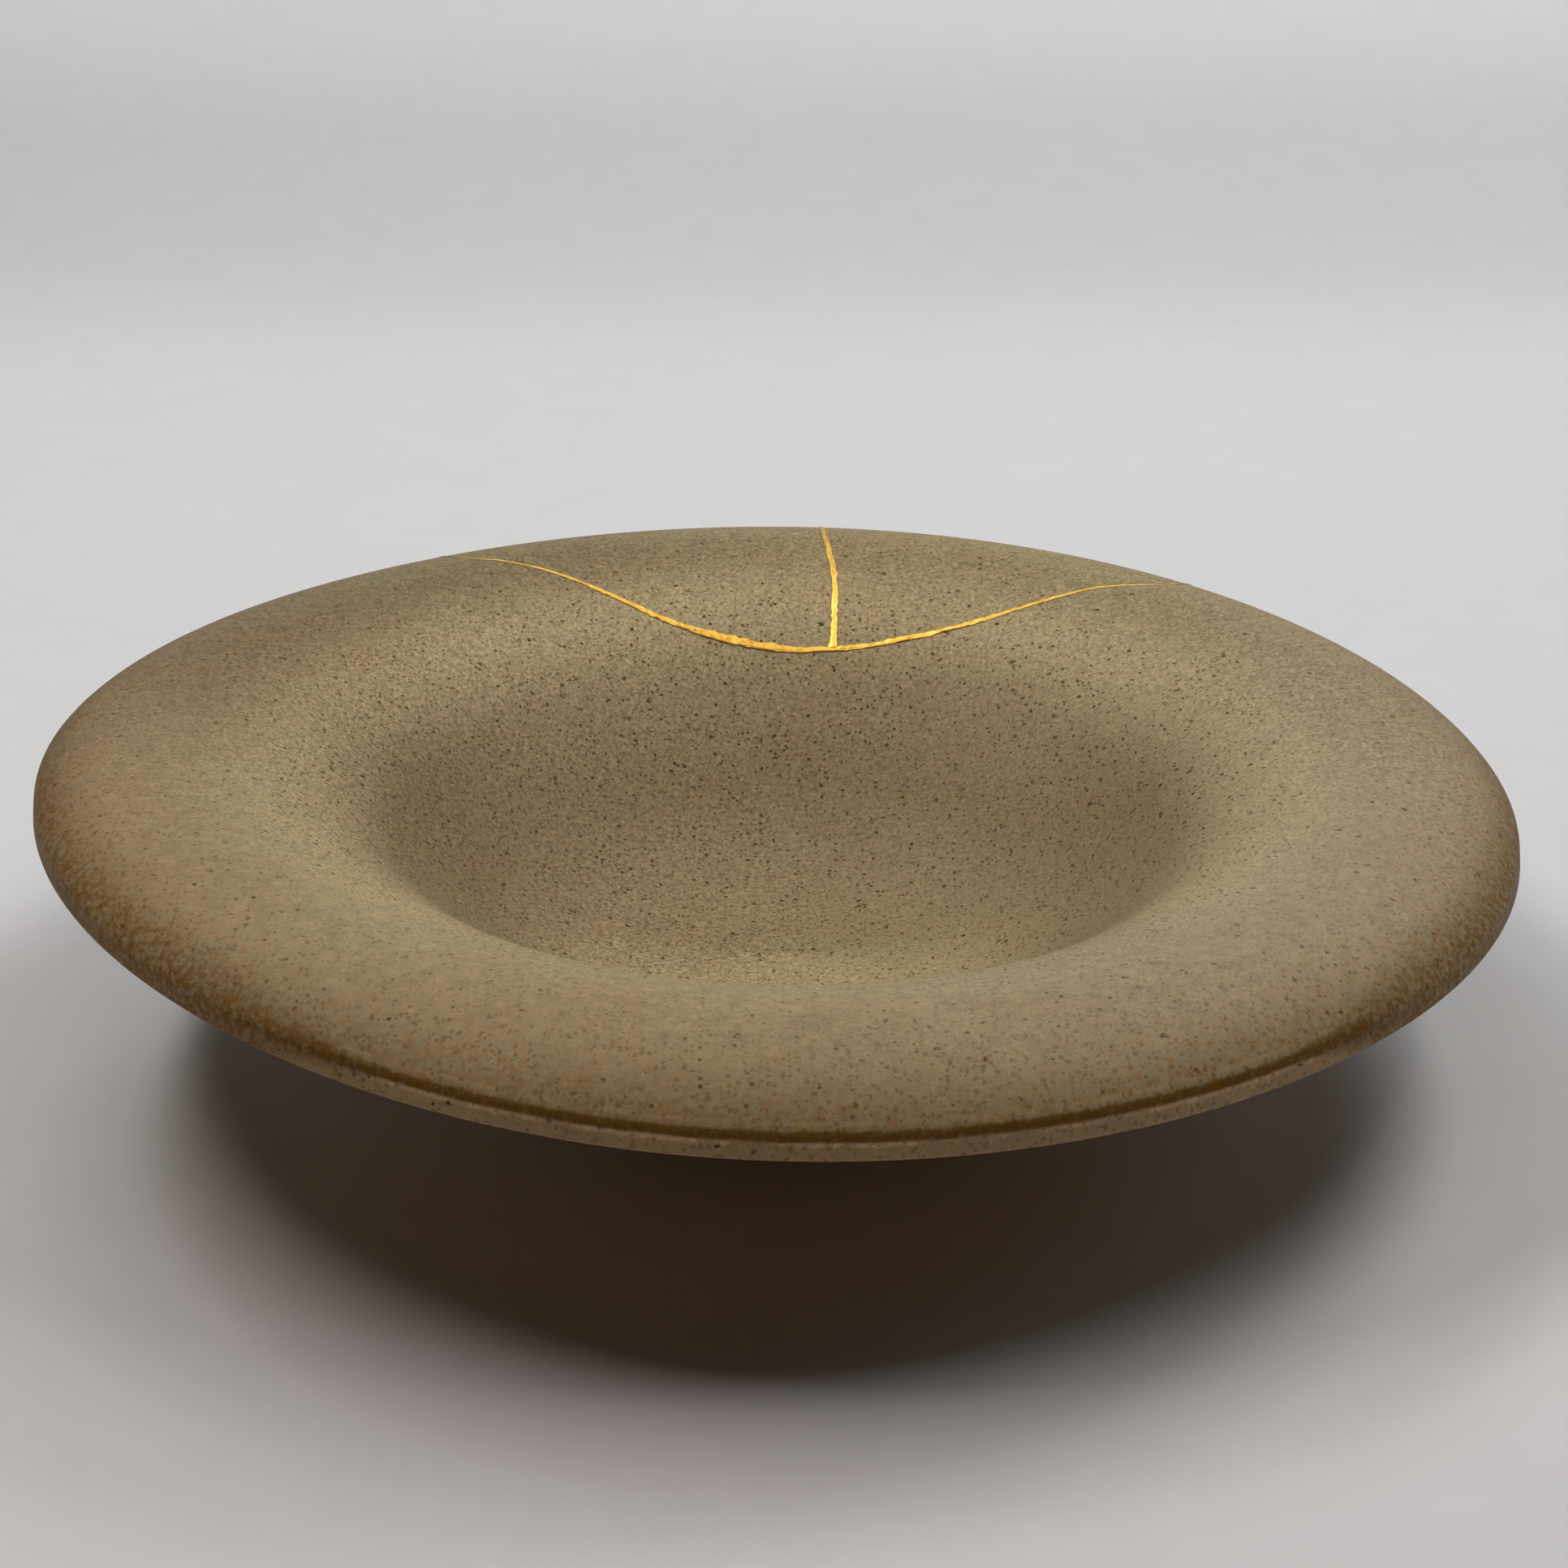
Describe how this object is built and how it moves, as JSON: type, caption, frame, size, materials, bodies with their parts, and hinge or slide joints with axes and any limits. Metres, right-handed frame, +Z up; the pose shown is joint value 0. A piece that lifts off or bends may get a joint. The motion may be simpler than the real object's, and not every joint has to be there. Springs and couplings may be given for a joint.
{
  "type": "bowl",
  "caption": "Wide shallow stoneware bowl with a rounded turned-down brim, a deep round well and a small foot; broken brim shards are mended with gold lacquer seams.",
  "frame": {"origin": "on the table, under the middle of the foot ring", "axes": "+Z up, +X to the right, +Y to the far side, where the mended shards are"},
  "size_m": [0.3822, 0.3807, 0.0912],
  "materials": {
    "glaze": "satin olive-beige glaze with rose blotches and fine iron speckles, brown where it breaks over the lip",
    "gold": "brushed-on gold over lacquer, bright with small dull and pitted places"
  },
  "bodies": {
    "root": {"bowl_body": "glaze", "rim_shard_left": "glaze", "rim_shard_right": "glaze", "gold_seam": "gold"}
  },
  "joints": []
}
